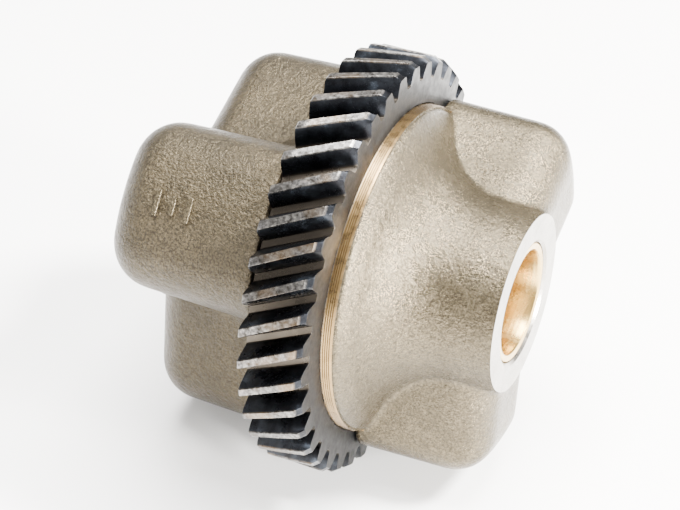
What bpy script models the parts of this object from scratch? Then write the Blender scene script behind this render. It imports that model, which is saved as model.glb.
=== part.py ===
"""Parallel-axis differential: ring gear, cast casing halves, side gears, paired pinions and bushes.

Everything is built about the local Z axis and carried by one empty that turns Z onto world +X, so the
unit lies with its shaft axis level. The origin is the centre of the ring gear on the shaft axis.
Lengths are in metres.
"""
import math

import bmesh
import bpy
from mathutils import Matrix, Vector

MM = 0.001
GAP = 0.3 * MM                     # clearance between pieces that touch on the real unit

# Ring gear
RING_TEETH = 39
RING_MODULE = 2.5 * MM             # normal module
RING_HELIX = math.radians(26.0)
RING_WIDTH = 17.0 * MM
RING_BORE = 44.6 * MM
RING_TOOTH_PHASE = math.radians(3.9)
RING_SLICES = 2

# Side gears and pinions
SIDE_TEETH = 21
PINION_TEETH = 8
GEAR_MODULE = 1.75 * MM
GEAR_PRESSURE_ANGLE = math.radians(25.0)
ADDENDUM = 0.7                     # stub teeth, in modules
DEDENDUM = 1.1
TOOTH_THINNING = 0.3 * MM          # taken off each tooth at the pitch circle for backlash
SPLINES = 20
SPLINE_MAJOR = 12.5 * MM
SPLINE_MINOR = 11.4 * MM
PIN_RADIUS = 2.5 * MM
PIN_FIT = 0.1 * MM                 # radial clearance of pins and dowels in their holes
PIN_HOLE = PIN_RADIUS + PIN_FIT
PIN_HOLE_DEPTH = 3.6 * MM
PIN_ENTRY = 3.0 * MM               # how far each pin reaches into the casing
PINION_BORE = 2.6 * MM

# Axial stations along the shaft axis
LEFT_FACE = -52.0 * MM
RIGHT_FACE = 45.5 * MM
LEFT_CAVITY = -40.0 * MM
RIGHT_CAVITY = 32.0 * MM
SHALLOW_POCKET = 9.5 * MM          # floor of the pinion pocket that has no lobe on the right
LEFT_GEAR = (-38.0 * MM, -15.0 * MM)
RIGHT_GEAR = (3.0 * MM, 30.0 * MM)
PAIR_MESH = (-13.0 * MM, 1.0 * MM)
SHALLOW_PINION_END = 8.5 * MM

# Casing. A lobe shape is (half width, outer radius, corner radius).
FACING = math.radians(230.7)       # direction of the left half's lobe that has no partner on the right
LEFT_LOBE = (22.5 * MM, 52.3 * MM, 14.0 * MM)
RIGHT_LOBE = (18.0 * MM, 50.3 * MM, 9.0 * MM)
LEFT_LOBE_END = -51.9 * MM
RIGHT_LOBE_END = 44.8 * MM
LOBE_ROUNDING = 11.0 * MM
LOBE_DRAFT = 0.025
LOBE_START = RING_WIDTH / 2 + GAP
SPIGOT = RING_BORE - GAP
LAND_END = 11.1 * MM
HUB_RADIUS = 23.8 * MM
BELL_FILLET = 21.3 * MM
FILLET_CENTRE = (46.2 * MM, 34.6 * MM)
FILLET_START = math.asin(7.2 * MM / BELL_FILLET)
CAVITY_RADIUS = 20.1 * MM
POCKET_CLEARANCE = 0.5 * MM
BUSH_BORE = 14.0 * MM
BUSH_OUTER = 16.0 * MM
BUSH_SEAT = BUSH_OUTER + GAP
BUSH_RECESS = 0.6 * MM
BUSH_STANDOFF = 0.8 * MM           # from the gear cavity's end wall to the bush
BORE_CHAMFER = 0.7 * MM
WASHER_THICKNESS = 1.4 * MM
WASHER_BORE = 14.4 * MM
WASHER_OUTER = 18.4 * MM
SPACER_BORE = 12.8 * MM
SPACER_OUTER = 15.2 * MM
DOWEL_RADIUS = 2.5 * MM
DOWEL_HALF = 5.8 * MM
DOWEL_CENTRES = 38.5 * MM
BORE_STEPS = 48                    # facets round the hollows in the casing
RING_STEPS = 36                    # facets round the bushes, washers and spacer

SIDE_PITCH = SIDE_TEETH * GEAR_MODULE / 2
PINION_PITCH = PINION_TEETH * GEAR_MODULE / 2
CENTRE_DISTANCE = SIDE_PITCH + PINION_PITCH
PINION_OFFSET = math.asin(PINION_PITCH / CENTRE_DISTANCE)
POCKET_RADIUS = PINION_PITCH + ADDENDUM * GEAR_MODULE + POCKET_CLEARANCE


def clear_scene():
    for obj in list(bpy.data.objects):
        bpy.data.objects.remove(obj, do_unlink=True)


def new_collection(name):
    group = bpy.data.collections.new(name)
    bpy.context.scene.collection.children.link(group)
    return group


clear_scene()
PARTS = new_collection("differential_gear_assembly")
CUTTERS = new_collection("cutters")
AXIS = bpy.data.objects.new("shaft_axis", None)
AXIS.rotation_euler = (0, math.pi / 2, 0)
PARTS.objects.link(AXIS)


def material(name, colour, roughness, metallic):
    mat = bpy.data.materials.new(name)
    mat.use_nodes = True
    shader = mat.node_tree.nodes["Principled BSDF"]
    shader.inputs["Base Color"].default_value = (*colour, 1)
    shader.inputs["Roughness"].default_value = roughness
    shader.inputs["Metallic"].default_value = metallic
    return mat


CAST = material("cast_iron", (0.42, 0.37, 0.29), 0.55, 0.6)
GEAR_STEEL = material("gear_steel", (0.20, 0.21, 0.22), 0.35, 0.9)
STEEL = material("machined_steel", (0.60, 0.60, 0.60), 0.30, 1.0)
BRONZE = material("bronze", (0.80, 0.50, 0.20), 0.25, 1.0)


def add_object(name, mesh, mat=None, location=(0, 0, 0), turn=0.0, cutter=False):
    """Put a mesh on the shaft axis; cutters only shape other objects."""
    obj = bpy.data.objects.new(name, mesh)
    (CUTTERS if cutter else PARTS).objects.link(obj)
    obj.parent = AXIS
    obj.location = location
    obj.rotation_euler = (0, 0, turn)
    if cutter:
        obj.hide_render = True
        obj.display_type = "WIRE"
    if mat:
        mesh.materials.append(mat)
        mesh.shade_smooth()
        mesh.set_sharp_from_angle(angle=math.radians(30))
    return obj


def polar(radius, angle, z=0.0):
    return (radius * math.cos(angle), radius * math.sin(angle), z)


def turned_mesh(name, profile, steps):
    """Revolve a closed (radius, z) outline about Z; points on the axis close the ends."""
    bm = bmesh.new()
    verts = [bm.verts.new((radius, 0, z)) for radius, z in profile]
    edges = [bm.edges.new((verts[i - 1], verts[i])) for i in range(1, len(verts))]
    if profile[0][0] > 0:
        edges.append(bm.edges.new((verts[-1], verts[0])))
    bmesh.ops.spin(bm, geom=verts + edges, cent=(0, 0, 0), axis=(0, 0, 1), angle=2 * math.pi,
                   steps=steps, use_merge=True)
    bmesh.ops.remove_doubles(bm, verts=bm.verts, dist=0.00001)
    bmesh.ops.recalc_face_normals(bm, faces=bm.faces)
    mesh = bpy.data.meshes.new(name)
    bm.to_mesh(mesh)
    bm.free()
    return mesh


def cylinder_mesh(name, radius, z0, z1, steps=32):
    return turned_mesh(name, [(0, z1), (radius, z1), (radius, z0), (0, z0)], steps)


def prism_mesh(name, loops, z0, z1, slices=1, twist=0.0):
    """Stack turned copies of flat loops (an outline and its holes), wall them in and fill both ends."""
    bm = bmesh.new()
    layers = []
    for i in range(slices + 1):
        share = i / slices
        turn = Matrix.Rotation(twist * (share - 0.5), 3, "Z")
        z = z0 + (z1 - z0) * share
        layers.append([[bm.verts.new(turn @ Vector((x, y, z))) for x, y in loop] for loop in loops])
    for lower, upper in zip(layers, layers[1:]):
        for low, high in zip(lower, upper):
            for j in range(len(low)):
                bm.faces.new((low[j - 1], low[j], high[j], high[j - 1]))
    for layer in (layers[0], layers[-1]):
        rim = [bm.edges.get((loop[j - 1], loop[j])) for loop in layer for j in range(len(loop))]
        bmesh.ops.triangle_fill(bm, use_beauty=True, edges=rim)
    bmesh.ops.recalc_face_normals(bm, faces=bm.faces)
    mesh = bpy.data.meshes.new(name)
    bm.to_mesh(mesh)
    bm.free()
    return mesh


def circle(radius, count):
    return [polar(radius, 2 * math.pi * i / count)[:2] for i in range(count)]


def gear_outline(teeth, module, pressure_angle, addendum, dedendum, thinning, flank_steps=3, phase=0.0):
    """Involute outline with one tooth centred at the phase angle."""
    pitch = teeth * module / 2
    base = pitch * math.cos(pressure_angle)
    tip = pitch + addendum
    root = pitch - dedendum
    start = max(base, root)

    def involute(angle):
        return math.tan(angle) - angle

    def half_angle(radius):
        opening = math.acos(min(1.0, base / radius))
        return math.pi / (2 * teeth) - thinning / (2 * pitch) + involute(pressure_angle) - involute(opening)

    radii = [start + (tip - start) * i / flank_steps for i in range(flank_steps + 1)]
    flank = [(radius, half_angle(radius)) for radius in radii]
    if root < start:
        flank.insert(0, (root, flank[0][1]))
    points = []
    for tooth in range(teeth):
        centre = phase + 2 * math.pi * tooth / teeth
        points += [polar(radius, centre - half)[:2] for radius, half in flank]
        points += [polar(radius, centre + half)[:2] for radius, half in reversed(flank)]
    return points


def spline_outline():
    """Straight-sided female spline for the axle shaft."""
    points = []
    pitch = 2 * math.pi / SPLINES
    for i in range(SPLINES):
        for radius, share in ((SPLINE_MINOR, -0.27), (SPLINE_MAJOR, -0.20), (SPLINE_MAJOR, 0.20),
                              (SPLINE_MINOR, 0.27)):
            points.append(polar(radius, pitch * (i + share))[:2])
    return points


def boolean(obj, cutter, operation):
    mod = obj.modifiers.new(cutter.name, "BOOLEAN")
    mod.object = cutter
    mod.operation = operation
    mod.solver = "EXACT"


def lobe_outline(shape, inset):
    """Straight-sided lobe with a rounded outer end, lying along X and drawn in by the inset."""
    width, outer, corner = (value - inset for value in shape)
    corner = max(corner, 2 * MM)
    across = width - corner
    along = math.sqrt((outer - corner) ** 2 - across ** 2)
    meet = math.atan2(across, along)
    half = [(0, width)]
    for i in range(5):
        bend = math.pi / 2 + (meet - math.pi / 2) * i / 4
        half.append((along + corner * math.cos(bend), across + corner * math.sin(bend)))
    half += [polar(outer, meet * (1 - i / 3))[:2] for i in range(1, 3)]
    return half + [(outer, 0)] + [(x, -y) for x, y in reversed(half)]


def lobe_mesh(name, shape, start, end):
    """Loft a lobe from beside the ring gear to its rounded end, with a little draft."""
    sign = 1 if end > start else -1
    straight = abs(end - start) - LOBE_ROUNDING
    levels = [(0, 0.0), (straight, LOBE_DRAFT * straight)]
    for i in range(1, 6):
        bend = math.pi / 2 * i / 5
        levels.append((straight + LOBE_ROUNDING * math.sin(bend),
                       LOBE_DRAFT * straight + LOBE_ROUNDING * (1 - math.cos(bend))))
    bm = bmesh.new()
    layers = [[bm.verts.new((x, y, start + sign * depth)) for x, y in lobe_outline(shape, inset)]
              for depth, inset in levels]
    for low, high in zip(layers, layers[1:]):
        for j in range(len(low)):
            bm.faces.new((low[j - 1], low[j], high[j], high[j - 1]))
    bm.faces.new(layers[0])
    bm.faces.new(layers[-1])
    bmesh.ops.recalc_face_normals(bm, faces=bm.faces)
    mesh = bpy.data.meshes.new(name)
    bm.to_mesh(mesh)
    bm.free()
    return mesh


def bell_curve(side, steps):
    """Shallow flange cone, then a round fillet up to the hub, as (radius, z) points."""
    points = [(SPIGOT - 0.6 * MM, side * (LAND_END + 0.6 * MM))]
    for i in range(steps + 1):
        bend = FILLET_START + (math.pi / 2 - FILLET_START) * i / steps
        points.append((FILLET_CENTRE[0] - BELL_FILLET * math.sin(bend),
                       side * (FILLET_CENTRE[1] - BELL_FILLET * math.cos(bend))))
    return points


LONG_POCKETS = [FACING + 2 * math.pi / 3, FACING - 2 * math.pi / 3]
POCKETS = [(angle, True) for angle in LONG_POCKETS] + [(FACING, False)]
DOWELS = [FACING + math.pi / 3, FACING - math.pi / 3]


def pinion_places():
    """Each pocket holds one left and one right pinion, side by side about the lobe's centre line."""
    for number, (angle, through) in enumerate(POCKETS, 1):
        yield number, "left", angle - PINION_OFFSET, through
        yield number, "right", angle + PINION_OFFSET, through


def casing_cutters():
    """Hollows shared by both casing halves."""
    over = 5 * MM
    cavity = cylinder_mesh("cavity_cut", CAVITY_RADIUS, LEFT_CAVITY, RIGHT_CAVITY, BORE_STEPS)
    seat = cylinder_mesh("bush_cut", BUSH_SEAT, LEFT_FACE - over, RIGHT_FACE + over, BORE_STEPS)
    cutters = [add_object("cavity_cut", cavity, cutter=True), add_object("bush_cut", seat, cutter=True)]
    for number, side, angle, through in pinion_places():
        top = RIGHT_CAVITY if through else SHALLOW_POCKET
        profile = [(0, top + PIN_HOLE_DEPTH), (PIN_HOLE, top + PIN_HOLE_DEPTH), (PIN_HOLE, top),
                   (POCKET_RADIUS, top), (POCKET_RADIUS, LEFT_CAVITY), (PIN_HOLE, LEFT_CAVITY),
                   (PIN_HOLE, LEFT_CAVITY - PIN_HOLE_DEPTH), (0, LEFT_CAVITY - PIN_HOLE_DEPTH)]
        cutters.append(add_object(f"pocket_cut_{side}_{number}", turned_mesh("pocket", profile, 20),
                                  location=polar(CENTRE_DISTANCE, angle), cutter=True))
    deep = DOWEL_HALF + GAP
    for number, angle in enumerate(DOWELS, 1):
        hole = cylinder_mesh("dowel_hole", DOWEL_RADIUS + PIN_FIT, -deep, deep, 16)
        place = polar(DOWEL_CENTRES, angle)
        cutters.append(add_object(f"dowel_cut_{number}", hole, location=place, cutter=True))
    return cutters


def mouth_cut(name, face, sign):
    """Chamfer where the bush seat meets the machined end face."""
    wide = BUSH_SEAT + 0.7 * MM
    deep = face - sign * 1.2 * MM
    out = face + sign * MM
    profile = [(0, out), (wide + MM, out), (BUSH_SEAT - 0.5 * MM, deep), (0, deep)]
    return add_object(name, turned_mesh(name, profile, BORE_STEPS), cutter=True)


def casing(name, body, lobes, cutters, face, side):
    """Turned body with its lobes, hollowed out and chamfered at the bush seat."""
    half = add_object(name, turned_mesh(name, body, 48), CAST)
    for number, (mesh, angle) in enumerate(lobes, 1):
        boolean(half, add_object(f"{name}_lobe_{number}", mesh, turn=angle, cutter=True), "UNION")
    for cutter in cutters:
        boolean(half, cutter, "DIFFERENCE")
    boolean(half, mouth_cut(f"{name}_mouth_cut", face, side), "DIFFERENCE")


def casings(cutters):
    left = [(0, -GAP / 2), (SPIGOT, -GAP / 2), (SPIGOT, -LAND_END)] + bell_curve(-1, 6)
    left += [(HUB_RADIUS, LEFT_FACE), (0, LEFT_FACE)]
    lobes = [(lobe_mesh("left_lobe", LEFT_LOBE, -LOBE_START, LEFT_LOBE_END), angle)
             for angle, _ in POCKETS]
    casing("casing_left", left, lobes, cutters, LEFT_FACE, -1)
    right = [(0, GAP / 2), (SPIGOT, GAP / 2), (SPIGOT, LAND_END)] + bell_curve(1, 8)
    right += [(HUB_RADIUS, RIGHT_FACE), (0, RIGHT_FACE)]
    lobes = [(lobe_mesh("right_lobe", RIGHT_LOBE, LOBE_START, RIGHT_LOBE_END), angle)
             for angle in LONG_POCKETS]
    casing("casing_right", right, lobes, cutters, RIGHT_FACE, 1)


def ring_gear():
    transverse = RING_MODULE / math.cos(RING_HELIX)
    angle = math.atan(math.tan(math.radians(20)) / math.cos(RING_HELIX))
    outline = gear_outline(RING_TEETH, transverse, angle, RING_MODULE, 1.25 * RING_MODULE, 0.1 * MM,
                           flank_steps=2, phase=RING_TOOTH_PHASE)
    pitch = RING_TEETH * transverse / 2
    twist = -RING_WIDTH * math.tan(RING_HELIX) / pitch
    mesh = prism_mesh("ring_gear", [outline, circle(RING_BORE, 96)], -RING_WIDTH / 2, RING_WIDTH / 2,
                      RING_SLICES, twist)
    add_object("ring_gear", mesh, GEAR_STEEL)


def small_gear_outline(teeth, phase):
    return gear_outline(teeth, GEAR_MODULE, GEAR_PRESSURE_ANGLE, ADDENDUM * GEAR_MODULE,
                        DEDENDUM * GEAR_MODULE, TOOTH_THINNING, phase=phase)


def meshing_phase(teeth, phase, mate_teeth, direction):
    """Phase of a mate that lies in the given direction, so that its gap takes the nearest tooth."""
    pitch = 2 * math.pi / teeth
    nearest = phase + pitch * round((direction - phase) / pitch)
    gap = direction + math.pi - teeth / mate_teeth * (nearest - direction)
    return gap + math.pi / mate_teeth


def gear_train():
    """Side gears and the pinion pairs that cross-connect them."""
    bore = circle(PINION_BORE, 16)
    first = POCKETS[0][0]
    left_phase = 0.0
    left_pinion = meshing_phase(SIDE_TEETH, left_phase, PINION_TEETH, first - PINION_OFFSET)
    right_pinion = meshing_phase(PINION_TEETH, left_pinion, PINION_TEETH, first + math.pi / 2)
    right_phase = meshing_phase(PINION_TEETH, right_pinion, SIDE_TEETH, first + PINION_OFFSET + math.pi)
    for side, span, phase in (("left", LEFT_GEAR, left_phase), ("right", RIGHT_GEAR, right_phase)):
        loops = [small_gear_outline(SIDE_TEETH, phase), spline_outline()]
        add_object(f"side_gear_{side}", prism_mesh(f"side_gear_{side}", loops, *span), STEEL)
    for number, side, angle, through in pinion_places():
        turned = POCKETS[number - 1][0] - first
        if side == "left":
            phase, span = left_pinion + turned, (LEFT_GEAR[0], PAIR_MESH[1])
        else:
            end = RIGHT_GEAR[1] if through else SHALLOW_PINION_END
            phase, span = right_pinion + turned, (PAIR_MESH[0], end)
        mesh = prism_mesh("pinion", [small_gear_outline(PINION_TEETH, phase), bore], *span)
        place = polar(CENTRE_DISTANCE, angle)
        add_object(f"pinion_{side}_{number}", mesh, STEEL, location=place)
        top = (RIGHT_CAVITY if through else SHALLOW_POCKET) + PIN_ENTRY
        pin = cylinder_mesh("pinion_pin", PIN_RADIUS, LEFT_CAVITY - PIN_ENTRY, top, 20)
        add_object(f"pinion_pin_{side}_{number}", pin, STEEL, location=place)


def ring_profile(inner, outer, z0, z1, chamfer):
    """Plain ring with a chamfer on the bore's outer end, which is the z1 end."""
    inward = chamfer if z1 > z0 else -chamfer
    return [(inner + chamfer, z1), (outer, z1), (outer, z0), (inner, z0), (inner, z1 - inward)]


def bushes_and_washers():
    left_stop = LEFT_CAVITY + GAP
    right_stop = RIGHT_CAVITY - GAP
    rings = [("bush_left", BUSH_BORE, BUSH_OUTER, LEFT_CAVITY - BUSH_STANDOFF, LEFT_FACE + BUSH_RECESS,
              BRONZE),
             ("bush_right", BUSH_BORE, BUSH_OUTER, RIGHT_CAVITY + BUSH_STANDOFF, RIGHT_FACE - BUSH_RECESS,
              BRONZE),
             ("thrust_washer_left", WASHER_BORE, WASHER_OUTER, left_stop, left_stop + WASHER_THICKNESS,
              BRONZE),
             ("thrust_washer_right", WASHER_BORE, WASHER_OUTER, right_stop, right_stop - WASHER_THICKNESS,
              BRONZE),
             ("thrust_spacer", SPACER_BORE, SPACER_OUTER, LEFT_GEAR[1] + GAP, RIGHT_GEAR[0] - GAP, STEEL)]
    for name, inner, outer, z0, z1, mat in rings:
        profile = ring_profile(inner, outer, z0, z1, BORE_CHAMFER)
        add_object(name, turned_mesh(name, profile, RING_STEPS), mat)


def dowels():
    for number, angle in enumerate(DOWELS, 1):
        mesh = cylinder_mesh("dowel_pin", DOWEL_RADIUS, -DOWEL_HALF, DOWEL_HALF, 16)
        add_object(f"dowel_pin_{number}", mesh, STEEL, location=polar(DOWEL_CENTRES, angle))


casings(casing_cutters())
ring_gear()
gear_train()
bushes_and_washers()
dowels()
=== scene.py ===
"""Parallel-axis differential on a pale table: cast casing halves round a helical ring gear.

The shaft axis is world X with +X towards the bell-shaped hub, and the origin is the ring gear's centre.
Turned and toothed pieces are made about their own Z axis and then turned onto X. Lengths are in metres.
"""
import math

import bmesh
import bpy
from mathutils import Matrix, Vector


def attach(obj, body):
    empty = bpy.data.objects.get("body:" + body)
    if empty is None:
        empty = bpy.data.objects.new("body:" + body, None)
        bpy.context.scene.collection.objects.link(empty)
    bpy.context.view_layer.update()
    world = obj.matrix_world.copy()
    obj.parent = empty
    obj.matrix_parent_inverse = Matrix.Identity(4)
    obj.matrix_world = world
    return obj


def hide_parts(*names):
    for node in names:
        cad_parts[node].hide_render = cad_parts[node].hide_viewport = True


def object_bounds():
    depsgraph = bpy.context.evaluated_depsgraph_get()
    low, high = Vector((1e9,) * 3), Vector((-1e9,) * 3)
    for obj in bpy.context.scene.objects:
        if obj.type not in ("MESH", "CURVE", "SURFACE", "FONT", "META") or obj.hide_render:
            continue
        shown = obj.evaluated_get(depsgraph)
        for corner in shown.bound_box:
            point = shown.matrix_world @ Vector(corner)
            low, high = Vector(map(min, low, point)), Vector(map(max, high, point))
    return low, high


MM = 0.001
Z_TO_X = Matrix.Rotation(math.pi / 2, 4, "Y")

# Ring gear
RING_TEETH = 39
RING_MODULE = 2.5 * MM
RING_HELIX = math.radians(26.0)
RING_HALF = 8.5 * MM
RING_BORE = 44.6 * MM
RING_PHASE = math.radians(3.9)
RING_SLICE = 2.33 * MM             # axial spacing of the ring gear's middle sections
RING_BORE_STEPS = 192
TIP_CHAMFER = 1.8 * MM
TIP_ROUNDING = 0.6 * MM
BROKEN_EDGE = 0.16 * MM

# Casing
FACING = math.radians(230.7)
LEFT_LOBE = (22.5 * MM, 52.3 * MM, 14.0 * MM)      # half width, outer radius, corner radius
RIGHT_LOBE = (18.0 * MM, 50.3 * MM, 9.0 * MM)
LOBE_START = 8.8 * MM
LOBE_ROUNDING = 11.0 * MM
LOBE_DRAFT = 0.025
LEFT_LOBE_END = -51.9 * MM
RIGHT_LOBE_END = 44.8 * MM
SPIGOT = 44.3 * MM
SPIGOT_UNDERCUT = 0.8 * MM         # the cast skin stays below the turned spigot
SPIGOT_START = 9.4 * MM
SPLIT_GAP = 0.15 * MM              # from the split plane to each half's inner face
GROOVES = 5
GROOVE_DEPTH = 0.14 * MM
MACHINED_WITHIN = 8.4 * MM         # faces nearer the split plane than this are machined
FLAT_REACH = 0.03 * MM             # a face this close to a plane counts as lying on it
LAND_END = 11.1 * MM
LEFT_FACE = -52.0 * MM
RIGHT_FACE = 45.5 * MM
HUB_RADIUS = 23.8 * MM
BELL_FILLET = 21.3 * MM
FILLET_CENTRE = (46.2 * MM, 34.6 * MM)
FILLET_START = math.asin(7.2 / 21.3)
VOXEL = 0.75 * MM
FILLET_PASSES = 9
TURNED_STEPS = 144
FINE_STEPS = 160
SEAT_STEPS = 128

# Hollows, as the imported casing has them
CAVITY_RADIUS = 20.1 * MM
LEFT_CAVITY = -40.0 * MM
RIGHT_CAVITY = 32.0 * MM
SHALLOW_POCKET = 9.5 * MM
POCKET_RADIUS = 8.725 * MM
POCKET_CENTRES = 25.375 * MM
POCKET_OFFSET = math.asin(7.0 / 25.375)
PIN_HOLE = 2.6 * MM
PIN_DEPTH = 3.6 * MM
DOWEL_HOLE = 2.6 * MM
DOWEL_CENTRES = 38.5 * MM
BUSH_SEAT = 16.3 * MM
BUSH_BORE = 14.0 * MM
BUSH_OUTER = 16.0 * MM
BUSH_RECESS = 0.6 * MM
BUSH_LENGTH = 11.0 * MM

# Foundry bars on the facing lobe
BAR_LENGTHS = (7.0 * MM, 5.0 * MM, 7.0 * MM)
BAR_WIDTH = 1.6 * MM
BAR_DEPTH = 1.8 * MM
BAR_EDGE = 0.35 * MM
BAR_START = -29.0 * MM
BAR_SPACING = 4.4 * MM
BAR_LIFT = 0.05 * MM
BAR_DRAFT_DEPTH = 26 * MM          # distance over which the lobe's draft has drawn its surface in

# View and stage
VIEW_AZIMUTH = math.radians(24.8)
VIEW_ELEVATION = math.radians(36.6)
VIEW_DISTANCE = 0.4973
VIEW_RIGHT = 6.09 * MM
VIEW_DOWN = 1.07 * MM
LENS_MM = 99.0
SENSOR_MM = 36.0
FLOOR_DROP = 0.4 * MM

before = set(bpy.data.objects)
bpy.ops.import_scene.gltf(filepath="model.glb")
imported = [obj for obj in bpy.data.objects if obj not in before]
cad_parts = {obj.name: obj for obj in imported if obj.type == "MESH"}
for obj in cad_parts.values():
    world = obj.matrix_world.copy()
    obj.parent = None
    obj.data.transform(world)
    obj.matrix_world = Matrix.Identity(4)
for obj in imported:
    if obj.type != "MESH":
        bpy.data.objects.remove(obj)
CAD_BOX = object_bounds()


# ---- Meshes ---------------------------------------------------------------------------------------

def new_object(name, mesh):
    obj = bpy.data.objects.new(name, mesh)
    bpy.context.scene.collection.objects.link(obj)
    return obj


def polar(radius, angle, z=0.0):
    return Vector((radius * math.cos(angle), radius * math.sin(angle), z))


def mesh_from(bm, name):
    bmesh.ops.recalc_face_normals(bm, faces=bm.faces)
    mesh = bpy.data.meshes.new(name)
    bm.to_mesh(mesh)
    bm.free()
    return mesh


def turned(name, profile, steps, place=(0, 0, 0)):
    """Revolve a (radius, z) outline about Z; an outline that starts on the axis closes itself."""
    bm = bmesh.new()
    verts = [bm.verts.new((radius, 0, z)) for radius, z in profile]
    edges = [bm.edges.new((verts[i - 1], verts[i])) for i in range(1, len(verts))]
    if profile[0][0] > 0:
        edges.append(bm.edges.new((verts[-1], verts[0])))
    bmesh.ops.spin(bm, geom=verts + edges, cent=(0, 0, 0), axis=(0, 0, 1), angle=2 * math.pi,
                   steps=steps, use_merge=True)
    bmesh.ops.remove_doubles(bm, verts=bm.verts, dist=0.002 * MM)
    bmesh.ops.translate(bm, verts=bm.verts, vec=place)
    return new_object(name, mesh_from(bm, name))


def bar(name, radius, z0, z1, steps=64, place=(0, 0, 0)):
    return turned(name, [(0, z1), (radius, z1), (radius, z0), (0, z0)], steps, place)


def bake(obj):
    """Turn an object's modifiers into its mesh."""
    graph = bpy.context.evaluated_depsgraph_get()
    mesh = bpy.data.meshes.new_from_object(obj.evaluated_get(graph))
    obj.modifiers.clear()
    obj.data = mesh
    return obj


def combine(obj, others, operation):
    for other in others:
        mod = obj.modifiers.new(other.name, "BOOLEAN")
        mod.object = other
        mod.operation = operation
        mod.solver = "EXACT"
    bake(obj)
    for other in others:
        bpy.data.objects.remove(other, do_unlink=True)
    return obj


def fuse(obj, others):
    """Join closed shells into one mesh, as a casting's outer skin, with the creases filled."""
    bm = bmesh.new()
    for part in [obj] + others:
        bm.from_mesh(part.data)
    bm.to_mesh(obj.data)
    bm.free()
    for other in others:
        bpy.data.objects.remove(other, do_unlink=True)
    remesh = obj.modifiers.new("skin", "REMESH")
    remesh.mode = "VOXEL"
    remesh.voxel_size = VOXEL
    smooth = obj.modifiers.new("fillets", "SMOOTH")
    smooth.factor = 0.5
    smooth.iterations = FILLET_PASSES
    return bake(obj)


def lobe_outline(shape, inset):
    """Straight-sided lobe with a rounded outer end, lying along local X, drawn in by the inset."""
    width, outer, corner = (value - inset for value in shape)
    corner = max(corner, 2 * MM)
    across = width - corner
    along = math.sqrt((outer - corner) ** 2 - across ** 2)
    meet = math.atan2(across, along)
    half = [Vector((0, width, 0))]
    for i in range(9):
        bend = math.pi / 2 + (meet - math.pi / 2) * i / 8
        half.append(Vector((along + corner * math.cos(bend), across + corner * math.sin(bend), 0)))
    half += [polar(outer, meet * (1 - i / 6)) for i in range(1, 6)]
    mirrored = [Vector((v.x, -v.y, 0)) for v in reversed(half)]
    return half + [Vector((outer, 0, 0))] + mirrored


def lobe(name, shape, angle, start, end):
    """Loft the lobe from the ring gear's face to its rounded end."""
    sign = 1 if end > start else -1
    straight = abs(end - start) - LOBE_ROUNDING
    levels = [(0, 0.0), (straight, LOBE_DRAFT * straight)]
    for i in range(1, 11):
        bend = math.pi / 2 * i / 10
        levels.append((straight + LOBE_ROUNDING * math.sin(bend),
                       LOBE_DRAFT * straight + LOBE_ROUNDING * (1 - math.cos(bend))))
    turn = Matrix.Rotation(angle, 3, "Z")
    bm = bmesh.new()
    layers = []
    for depth, inset in levels:
        lift = Vector((0, 0, start + sign * depth))
        layers.append([bm.verts.new(turn @ point + lift) for point in lobe_outline(shape, inset)])
    for low, high in zip(layers, layers[1:]):
        for j in range(len(low)):
            bm.faces.new((low[j - 1], low[j], high[j], high[j - 1]))
    bm.faces.new(layers[0])
    bm.faces.new(layers[-1])
    return new_object(name, mesh_from(bm, name))


def bell_curve(side, steps):
    """Shallow flange cone, then a round fillet up to the hub, as (radius, z) points."""
    points = [(SPIGOT - 0.6 * MM, side * (LAND_END + 0.6 * MM))]
    for i in range(steps + 1):
        bend = FILLET_START + (math.pi / 2 - FILLET_START) * i / steps
        points.append((FILLET_CENTRE[0] - BELL_FILLET * math.sin(bend),
                       side * (FILLET_CENTRE[1] - BELL_FILLET * math.cos(bend))))
    return points


THROUGH = [FACING + 2 * math.pi / 3, FACING - 2 * math.pi / 3]
LEFT_ONLY = [FACING]


def hollows():
    """The gear cavity, bush seat, pinion pockets, pin holes and dowel holes."""
    cuts = [bar("cavity", CAVITY_RADIUS, LEFT_CAVITY, RIGHT_CAVITY, 96),
            bar("seat", BUSH_SEAT, LEFT_FACE - 5 * MM, RIGHT_FACE + 5 * MM, SEAT_STEPS)]
    for angle, top in [(a, RIGHT_CAVITY) for a in THROUGH] + [(a, SHALLOW_POCKET) for a in LEFT_ONLY]:
        for side in (-1, 1):
            place = polar(POCKET_CENTRES, angle + side * POCKET_OFFSET)
            profile = [(0, top + PIN_DEPTH), (PIN_HOLE, top + PIN_DEPTH), (PIN_HOLE, top),
                       (POCKET_RADIUS, top), (POCKET_RADIUS, LEFT_CAVITY), (PIN_HOLE, LEFT_CAVITY),
                       (PIN_HOLE, LEFT_CAVITY - PIN_DEPTH), (0, LEFT_CAVITY - PIN_DEPTH)]
            cuts.append(turned("pocket", profile, 40, place))
    for angle in (FACING + math.pi / 3, FACING - math.pi / 3):
        cuts.append(bar("dowel", DOWEL_HOLE, -6.1 * MM, 6.1 * MM, 24, polar(DOWEL_CENTRES, angle)))
    return cuts


def mouth(face, sign):
    """Cutter for the chamfer where the bush seat meets the hub's end face."""
    wide = BUSH_SEAT + 0.7 * MM
    out = face + sign * MM
    deep = face - sign * 1.2 * MM
    profile = [(0, out), (wide + MM, out), (BUSH_SEAT - 0.5 * MM, deep), (0, deep)]
    return turned("mouth", profile, SEAT_STEPS)


def facing(name, z0, z1):
    """A disc of stock that a lathe would take off."""
    return bar(name, 70 * MM, z0, z1, 64)


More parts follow.
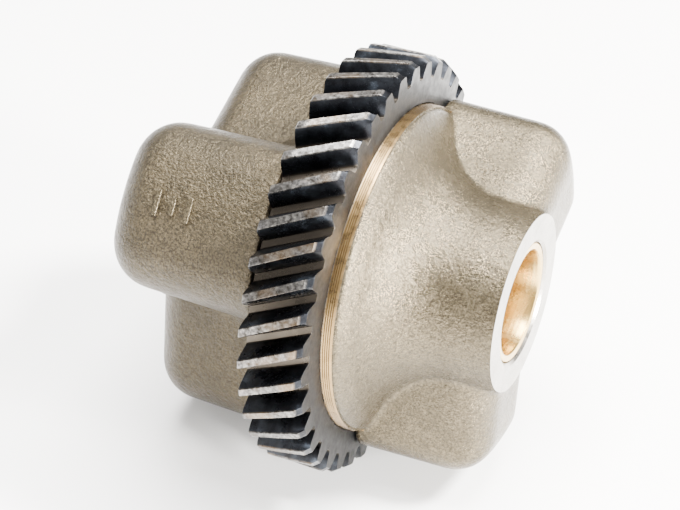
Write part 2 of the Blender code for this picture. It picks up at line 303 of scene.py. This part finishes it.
def land(z0, z1):
    """Turned disc that fits the ring gear's bore; its shown end carries fine tool rings."""
    pitch = (z1 - RING_HALF) / GROOVES
    profile = [(0, z0), (SPIGOT, z0)]
    for i in range(GROOVES):
        z = RING_HALF + i * pitch
        profile += [(SPIGOT, z), (SPIGOT - GROOVE_DEPTH, z + 0.5 * pitch)]
    profile += [(SPIGOT - 0.3 * MM, z1), (0, z1)]
    return turned("land", profile, FINE_STEPS)


def flange(side):
    """Inner end of a half's cast skin, kept below the turned spigot that covers it."""
    radius = SPIGOT - SPIGOT_UNDERCUT
    return [(0, side * SPIGOT_START), (radius, side * SPIGOT_START), (radius, side * LAND_END)]


def casing_right():
    """Bell, hub and two lobes, with the grooved land and the hollows."""
    body = flange(1) + bell_curve(1, 20)
    body += [(HUB_RADIUS, RIGHT_FACE), (HUB_RADIUS, RIGHT_FACE + 3 * MM), (0, RIGHT_FACE + 3 * MM)]
    skin = turned("casing_right_casting", body, TURNED_STEPS)
    bosses = [lobe("lobe", RIGHT_LOBE, angle, LOBE_START, RIGHT_LOBE_END) for angle in THROUGH]
    fuse(skin, bosses)
    combine(skin, [land(SPLIT_GAP, LAND_END + 0.2 * MM)], "UNION")
    combine(skin, hollows() + [mouth(RIGHT_FACE, 1), facing("end", RIGHT_FACE, RIGHT_FACE + 9 * MM)],
            "DIFFERENCE")
    return skin


def casing_left():
    """Three lobes round the left hub, with the plain spigot and the hollows."""
    body = flange(-1) + bell_curve(-1, 20)
    body += [(HUB_RADIUS - MM, LEFT_FACE + MM), (0, LEFT_FACE + MM)]
    skin = turned("casing_left_casting", body, TURNED_STEPS)
    bosses = [lobe("lobe", LEFT_LOBE, angle, -LOBE_START, LEFT_LOBE_END) for angle in THROUGH + LEFT_ONLY]
    fuse(skin, bosses)
    combine(skin, [bar("spigot", SPIGOT, -LAND_END, -SPLIT_GAP, FINE_STEPS),
                   bar("hub", HUB_RADIUS, LEFT_FACE, LEFT_FACE + 14 * MM, FINE_STEPS)], "UNION")
    combine(skin, hollows() + [mouth(LEFT_FACE, -1)], "DIFFERENCE")
    return skin


def ring_outline(limit):
    """Transverse tooth outline, with nothing standing above the limit radius."""
    transverse = RING_MODULE / math.cos(RING_HELIX)
    pressure = math.atan(math.tan(math.radians(20)) / math.cos(RING_HELIX))
    pitch = RING_TEETH * transverse / 2
    base = pitch * math.cos(pressure)
    tip = pitch + RING_MODULE
    root = pitch - 1.25 * RING_MODULE
    start = max(base, root)

    def half_angle(radius):
        opening = math.acos(min(1.0, base / radius))
        return (math.pi / (2 * RING_TEETH) - 0.05 * MM / pitch + math.tan(pressure) - pressure
                - math.tan(opening) + opening)

    radii = [start + (tip - start) * i / 6 for i in range(7)]
    flank = [(radius, half_angle(radius)) for radius in radii]
    foot = flank[0][1]
    flank = [(root, foot + 0.25 * MM / root), (root + 0.3 * MM, foot + 0.04 * MM / root)] + flank[1:]
    points = []
    for tooth in range(RING_TEETH):
        centre = RING_PHASE + 2 * math.pi * tooth / RING_TEETH
        points += [(min(radius, limit), centre - half) for radius, half in flank]
        points += [(min(radius, limit), centre + half) for radius, half in reversed(flank)]
    return points


def ring_gear():
    """Helical teeth lofted along the axis, rounded at one end and chamfered at the other."""
    pitch = RING_TEETH * RING_MODULE / math.cos(RING_HELIX) / 2
    tip = pitch + RING_MODULE
    lead = -math.tan(RING_HELIX) / pitch
    levels = [(-RING_HALF, tip - TIP_ROUNDING)]
    levels += [(-RING_HALF + TIP_ROUNDING * (1 - math.cos(a)), tip - TIP_ROUNDING * (1 - math.sin(a)))
               for a in (0.5, 1.0, math.pi / 2)]
    levels += [(-RING_HALF + TIP_ROUNDING + i * RING_SLICE, tip) for i in range(1, 6)]
    levels += [(RING_HALF - TIP_CHAMFER, tip), (RING_HALF, tip - 0.75 * TIP_CHAMFER)]
    bm = bmesh.new()
    layers = []
    for z, limit in levels:
        wall = [bm.verts.new(polar(radius, angle + lead * z, z)) for radius, angle in ring_outline(limit)]
        hole = [bm.verts.new(polar(RING_BORE, 2 * math.pi * i / RING_BORE_STEPS, z))
                for i in range(RING_BORE_STEPS)]
        layers.append((wall, hole))
    for lower, upper in zip(layers, layers[1:]):
        for low, high in zip(lower, upper):
            for j in range(len(low)):
                bm.faces.new((low[j - 1], low[j], high[j], high[j - 1]))
    for layer in (layers[0], layers[-1]):
        rim = [bm.edges.get((loop[j - 1], loop[j])) for loop in layer for j in range(len(loop))]
        bmesh.ops.triangle_fill(bm, use_beauty=True, edges=rim)
    return new_object("ring_gear_toothed", mesh_from(bm, "ring_gear_toothed"))


def bush(name, face, sign):
    """Bronze sleeve with a chamfered bore and a broken outer edge."""
    chamfer = 0.8 * MM
    edge = 0.25 * MM

    def z(depth):
        return face - sign * depth

    profile = [(BUSH_BORE, z(chamfer)), (BUSH_BORE + edge, z(edge)), (BUSH_BORE + chamfer, z(0)),
               (BUSH_OUTER - edge, z(0)), (BUSH_OUTER, z(edge)), (BUSH_OUTER, z(BUSH_LENGTH)),
               (BUSH_BORE, z(BUSH_LENGTH))]
    return turned(name, profile, FINE_STEPS)


# ---- Materials ------------------------------------------------------------------------------------

RAMP_SCALE = 10.0                  # brings radii in metres into a colour ramp's range


class Nodes:
    """Short spellings for the node trees below."""

    def __init__(self, name):
        self.material = bpy.data.materials.new(name)
        self.material.use_nodes = True
        self.tree = self.material.node_tree
        self.shader = self.tree.nodes["Principled BSDF"]
        self.place = self.tree.nodes.new("ShaderNodeTexCoord").outputs["Object"]

    def link(self, source, target):
        self.tree.links.new(source, target)

    def noise(self, scale, detail, rough):
        node = self.tree.nodes.new("ShaderNodeTexNoise")
        node.inputs["Scale"].default_value = scale
        node.inputs["Detail"].default_value = detail
        node.inputs["Roughness"].default_value = rough
        self.link(self.place, node.inputs["Vector"])
        return node.outputs["Fac"]

    def ramp(self, source, stops):
        node = self.tree.nodes.new("ShaderNodeValToRGB")
        while len(node.color_ramp.elements) < len(stops):
            node.color_ramp.elements.new(0.5)
        for element, (position, value) in zip(node.color_ramp.elements, stops):
            element.position = position
            element.color = (*value, 1) if isinstance(value, tuple) else (value, value, value, 1)
        self.link(source, node.inputs["Fac"])
        return node.outputs["Color"]

    def mix(self, factor, first, second):
        node = self.tree.nodes.new("ShaderNodeMix")
        node.data_type = "RGBA"
        self.link(factor, node.inputs["Factor"])
        for value, socket in ((first, node.inputs[6]), (second, node.inputs[7])):
            if isinstance(value, tuple):
                socket.default_value = (*value, 1)
            else:
                self.link(value, socket)
        return node.outputs[2]

    def math(self, operation, first, second):
        node = self.tree.nodes.new("ShaderNodeMath")
        node.operation = operation
        for value, socket in zip((first, second), node.inputs):
            if isinstance(value, (int, float)):
                socket.default_value = value
            else:
                self.link(value, socket)
        return node.outputs["Value"]

    def axis(self, name):
        node = self.tree.nodes.new("ShaderNodeSeparateXYZ")
        self.link(self.place, node.inputs["Vector"])
        return node.outputs[name]

    def radius(self):
        """Distance from the shaft axis, in metres."""
        across = self.math("MULTIPLY", self.axis("Y"), self.axis("Y"))
        up = self.math("MULTIPLY", self.axis("Z"), self.axis("Z"))
        return self.math("SQRT", self.math("ADD", across, up), 0.0)

    def bump(self, height, strength, distance):
        node = self.tree.nodes.new("ShaderNodeBump")
        node.inputs["Strength"].default_value = strength
        node.inputs["Distance"].default_value = distance
        self.link(height, node.inputs["Height"])
        self.link(node.outputs["Normal"], self.shader.inputs["Normal"])

    def colour(self, source):
        self.link(source, self.shader.inputs["Base Color"])

    def roughness(self, source):
        self.link(source, self.shader.inputs["Roughness"])


def casting(name, light, dark, fleck, roughness, peen):
    """Shot-blasted casting: fine peened grain, painted shade in its pits, soft staining and scattered
    dark flecks.
    """
    mat = Nodes(name)
    mat.shader.inputs["Metallic"].default_value = 0.8
    stain = mat.ramp(mat.noise(45, 5, 0.6), [(0.35, dark), (0.65, light)])
    grain = mat.noise(1800, 3, 0.75)
    # painted shade: the colour darkens where the grain sinks the bump, in the pits of the peened grain
    pit_shade = mat.ramp(grain, [(0.40, 0.0), (0.62, 1.0)])
    body = mat.mix(pit_shade, tuple(c * 0.45 for c in dark), stain)
    spots = mat.ramp(mat.noise(700, 2, 0.5), [(0.20, 1.0), (0.26, 0.0)])
    mat.colour(mat.mix(spots, body, fleck))
    mat.roughness(mat.ramp(mat.noise(300, 4, 0.6), [(0.3, roughness), (0.7, roughness + 0.13)]))
    mat.bump(mat.math("ADD", grain, mat.math("MULTIPLY", mat.noise(650, 3, 0.6), 1.6)), 1.0, peen)
    return mat.material


def machined(name, light, dark, roughness, ring_scale):
    """Lathe-turned metal: concentric tool rings about the shaft axis, with faint stains."""
    mat = Nodes(name)
    mat.shader.inputs["Metallic"].default_value = 1.0
    along = mat.math("ADD", mat.radius(), mat.axis("X"))
    rings = mat.math("SINE", mat.math("MULTIPLY", along, ring_scale), 0.0)
    mat.colour(mat.ramp(mat.noise(120, 6, 0.65), [(0.35, dark), (0.62, light)]))
    mat.roughness(mat.ramp(mat.noise(400, 4, 0.6), [(0.3, roughness * 0.8), (0.7, roughness * 1.3)]))
    mat.bump(mat.math("ADD", mat.math("MULTIPLY", rings, 0.5), mat.noise(1800, 2, 0.5)), 0.16, 0.04 * MM)
    return mat.material


def gear_flanks(name):
    """Oiled dark teeth, bare and lightly rusted where the tip lands have worn."""
    mat = Nodes(name)
    mat.shader.inputs["Metallic"].default_value = 0.9
    oil = mat.ramp(mat.noise(160, 6, 0.65), [(0.38, (0.004, 0.004, 0.005)), (0.58, (0.016, 0.018, 0.022)),
                                         (0.74, (0.060, 0.072, 0.090))])
    worn = mat.ramp(mat.noise(900, 5, 0.7), [(0.36, (0.02, 0.017, 0.013)), (0.52, (0.11, 0.105, 0.10)),
                                             (0.70, (0.30, 0.28, 0.25))])
    rust = mat.mix(mat.ramp(mat.noise(70, 4, 0.6), [(0.50, 0.0), (0.66, 0.7)]), worn, (0.15, 0.10, 0.055))
    tip = [(RAMP_SCALE * radius, value) for radius, value in ((0.0563, 0.0), (0.05668, 1.0))]
    bottom = [(RAMP_SCALE * radius, value) for radius, value in ((0.05125, 1.0), (0.05165, 0.0))]
    land = mat.ramp(mat.math("MULTIPLY", mat.radius(), RAMP_SCALE), tip)
    root = mat.ramp(mat.math("MULTIPLY", mat.radius(), RAMP_SCALE), bottom)
    base = mat.mix(root, oil, (0.055, 0.046, 0.036))
    mat.colour(mat.mix(land, base, rust))
    mat.roughness(mat.ramp(mat.noise(260, 5, 0.6), [(0.3, 0.20), (0.7, 0.38)]))
    mat.bump(mat.noise(1300, 4, 0.65), 0.25, 0.05 * MM)
    return mat.material


CAST_LIGHT = casting("casting_light", (0.140, 0.112, 0.068), (0.090, 0.072, 0.043), (0.026, 0.021, 0.013),
                     0.20, 0.20 * MM)
CAST_DARK = casting("casting_dark", (0.092, 0.071, 0.040), (0.054, 0.043, 0.026), (0.012, 0.009, 0.006),
                    0.27, 0.34 * MM)
COPPER = machined("turned_land", (0.26, 0.17, 0.075), (0.17, 0.11, 0.048), 0.28, 9000.0)
FACED = machined("faced_steel", (0.36, 0.335, 0.295), (0.25, 0.232, 0.205), 0.26, 12000.0)
GEAR_SIDE = machined("gear_side_steel", (0.026, 0.026, 0.026), (0.014, 0.014, 0.015), 0.42, 7000.0)
TEETH = gear_flanks("gear_teeth")
BRONZE = machined("bored_bronze", (0.64, 0.45, 0.17), (0.50, 0.34, 0.12), 0.24, 5000.0)
GROUND = machined("ground_steel", (0.55, 0.55, 0.56), (0.40, 0.40, 0.41), 0.30, 6000.0)


# ---- The object -----------------------------------------------------------------------------------

def finish_mesh(obj, angle=30.0):
    obj.data.transform(Z_TO_X)
    obj.data.shade_smooth()
    obj.data.set_sharp_from_angle(angle=math.radians(angle))


def dress(obj, materials, choose):
    """Give each face the material whose place in the list the chooser returns."""
    obj.data.materials.clear()
    for item in materials:
        obj.data.materials.append(item)
    for face in obj.data.polygons:
        centre = face.center
        face.material_index = choose(centre.x, math.hypot(centre.y, centre.z), face.normal)


def near(value, target):
    return abs(value - target) < FLAT_REACH


def choose_right(x, radius, normal):
    """Cast skin 0, machined faces and hollows 1, grooved land 2."""
    mouth_rim = radius < 18 * MM and x > RIGHT_FACE - 1.5 * MM
    if near(x, RIGHT_FACE) or mouth_rim or radius < CAVITY_RADIUS - 0.5 * MM or x < MACHINED_WITHIN:
        return 1
    on_land = SPIGOT - 0.5 * MM < radius < SPIGOT + 0.1 * MM and x < LAND_END + 0.3 * MM
    return 2 if on_land and math.hypot(normal.y, normal.z) > 0.3 else 0


def choose_left(x, radius, normal):
    """Cast skin 0, machined faces and hollows 1."""
    return 1 if near(x, LEFT_FACE) or radius < BUSH_SEAT + 1.2 * MM or x > -MACHINED_WITHIN else 0


def choose_gear(x, radius, normal):
    """Teeth 0, flat sides 1."""
    return 1 if abs(normal.x) > 0.9 and abs(x) > RING_HALF - 0.1 * MM else 0


def cast_marks():
    """Three plain raised foundry bars on the facing lobe of the left half."""
    surface = LEFT_LOBE[1] - LOBE_DRAFT * BAR_DRAFT_DEPTH + BAR_LIFT
    facing_out = Matrix.Rotation(FACING, 4, "Z")
    upright = Matrix.Rotation(-math.pi / 2, 4, "Y")
    bars = []
    for i, length in enumerate(BAR_LENGTHS):
        bm = bmesh.new()
        bmesh.ops.create_cube(bm, size=1.0)
        bmesh.ops.scale(bm, verts=bm.verts, vec=(BAR_WIDTH, length, BAR_DEPTH))
        bmesh.ops.bevel(bm, geom=bm.edges[:], offset=BAR_EDGE, segments=3, affect="EDGES")
        spot = Matrix.Translation((surface, 0, BAR_START - i * BAR_SPACING))
        bmesh.ops.transform(bm, matrix=facing_out @ spot @ upright, verts=bm.verts)
        bars.append(new_object("mark", mesh_from(bm, "mark")))
    bars[0].name = "foundry_bars"
    return combine(bars[0], bars[1:], "UNION")


right = casing_right()
finish_mesh(right)
dress(right, [CAST_LIGHT, FACED, COPPER], choose_right)
left = casing_left()
finish_mesh(left)
dress(left, [CAST_DARK, FACED], choose_left)
gear = ring_gear()
finish_mesh(gear, 25.0)
dress(gear, [TEETH, GEAR_SIDE], choose_gear)
edges = gear.modifiers.new("broken_edges", "BEVEL")
edges.width = BROKEN_EDGE
edges.segments = 2
edges.limit_method = "ANGLE"
edges.angle_limit = math.radians(35)
bake(gear)
marks = cast_marks()
finish_mesh(marks)
dress(marks, [CAST_LIGHT], lambda x, radius, normal: 0)
bush_right = bush("bush_right_bored", RIGHT_FACE - BUSH_RECESS, 1)
bush_left = bush("bush_left_bored", LEFT_FACE + BUSH_RECESS, -1)
for sleeve in (bush_right, bush_left):
    finish_mesh(sleeve)
    dress(sleeve, [BRONZE], lambda x, radius, normal: 0)

for piece, node, slot in ((right, "casing_right", "cast_casing"), (left, "casing_left", "cast_casing"),
                          (gear, "ring_gear", "gear_steel"), (bush_right, "bush_right", "bronze"),
                          (bush_left, "bush_left", "bronze")):
    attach(piece, "casing")
    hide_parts(node)
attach(marks, "casing")

for name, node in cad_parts.items():
    node.data.materials.clear()
    node.data.materials.append(BRONZE if name.startswith("thrust_washer") else GROUND)


# ---- Stage ----------------------------------------------------------------------------------------

def stage():
    low = CAD_BOX[0][2]
    bm = bmesh.new()
    bmesh.ops.create_grid(bm, x_segments=1, y_segments=1, size=3.0)
    floor = new_object("table_top", mesh_from(bm, "table_top"))
    floor.location.z = low - FLOOR_DROP
    paper = Nodes("pale_paper")
    shades = [(0.3, (0.90, 0.885, 0.86)), (0.7, (0.93, 0.92, 0.905))]
    paper.colour(paper.ramp(paper.noise(3, 2, 0.5), shades))
    paper.shader.inputs["Roughness"].default_value = 0.9
    floor.data.materials.append(paper.material)


def area_light(name, place, size, power, colour):
    light = bpy.data.lights.new(name, "AREA")
    light.shape = "RECTANGLE"
    light.size, light.size_y = size
    light.energy = power
    light.color = colour
    obj = new_object(name, light)
    obj.location = place
    obj.rotation_euler = (-Vector(place)).to_track_quat("-Z", "Y").to_euler()


def lighting():
    area_light("key_right", (1.0, -0.18, 0.17), (0.16, 0.36), 95.0, (1.0, 0.985, 0.96))
    area_light("key_upper", (0.70, 0.20, 0.85), (0.22, 0.22), 84.0, (1.0, 0.985, 0.96))
    area_light("top", (0.0, 0.10, 1.0), (0.7, 0.6), 66.0, (1.0, 1.0, 1.0))
    area_light("fill_left", (-0.8, -0.6, 0.35), (0.3, 0.3), 3.0, (0.93, 0.95, 1.0))
    world = bpy.data.worlds.new("studio")
    world.use_nodes = True
    world.node_tree.nodes["Background"].inputs["Color"].default_value = (1.0, 0.99, 0.975, 1)
    world.node_tree.nodes["Background"].inputs["Strength"].default_value = 0.92
    bpy.context.scene.world = world


def camera():
    back = Vector((math.sin(VIEW_AZIMUTH) * math.cos(VIEW_ELEVATION),
                   -math.cos(VIEW_AZIMUTH) * math.cos(VIEW_ELEVATION), math.sin(VIEW_ELEVATION)))
    rotation = back.to_track_quat("Z", "Y")
    right_way = rotation @ Vector((1, 0, 0))
    up_way = rotation @ Vector((0, 1, 0))
    cam = bpy.data.cameras.new("camera")
    cam.lens = LENS_MM
    cam.sensor_width = SENSOR_MM
    obj = new_object("camera", cam)
    obj.rotation_euler = rotation.to_euler()
    obj.location = back * VIEW_DISTANCE - right_way * VIEW_RIGHT + up_way * VIEW_DOWN
    bpy.context.scene.camera = obj


stage()
lighting()
camera()
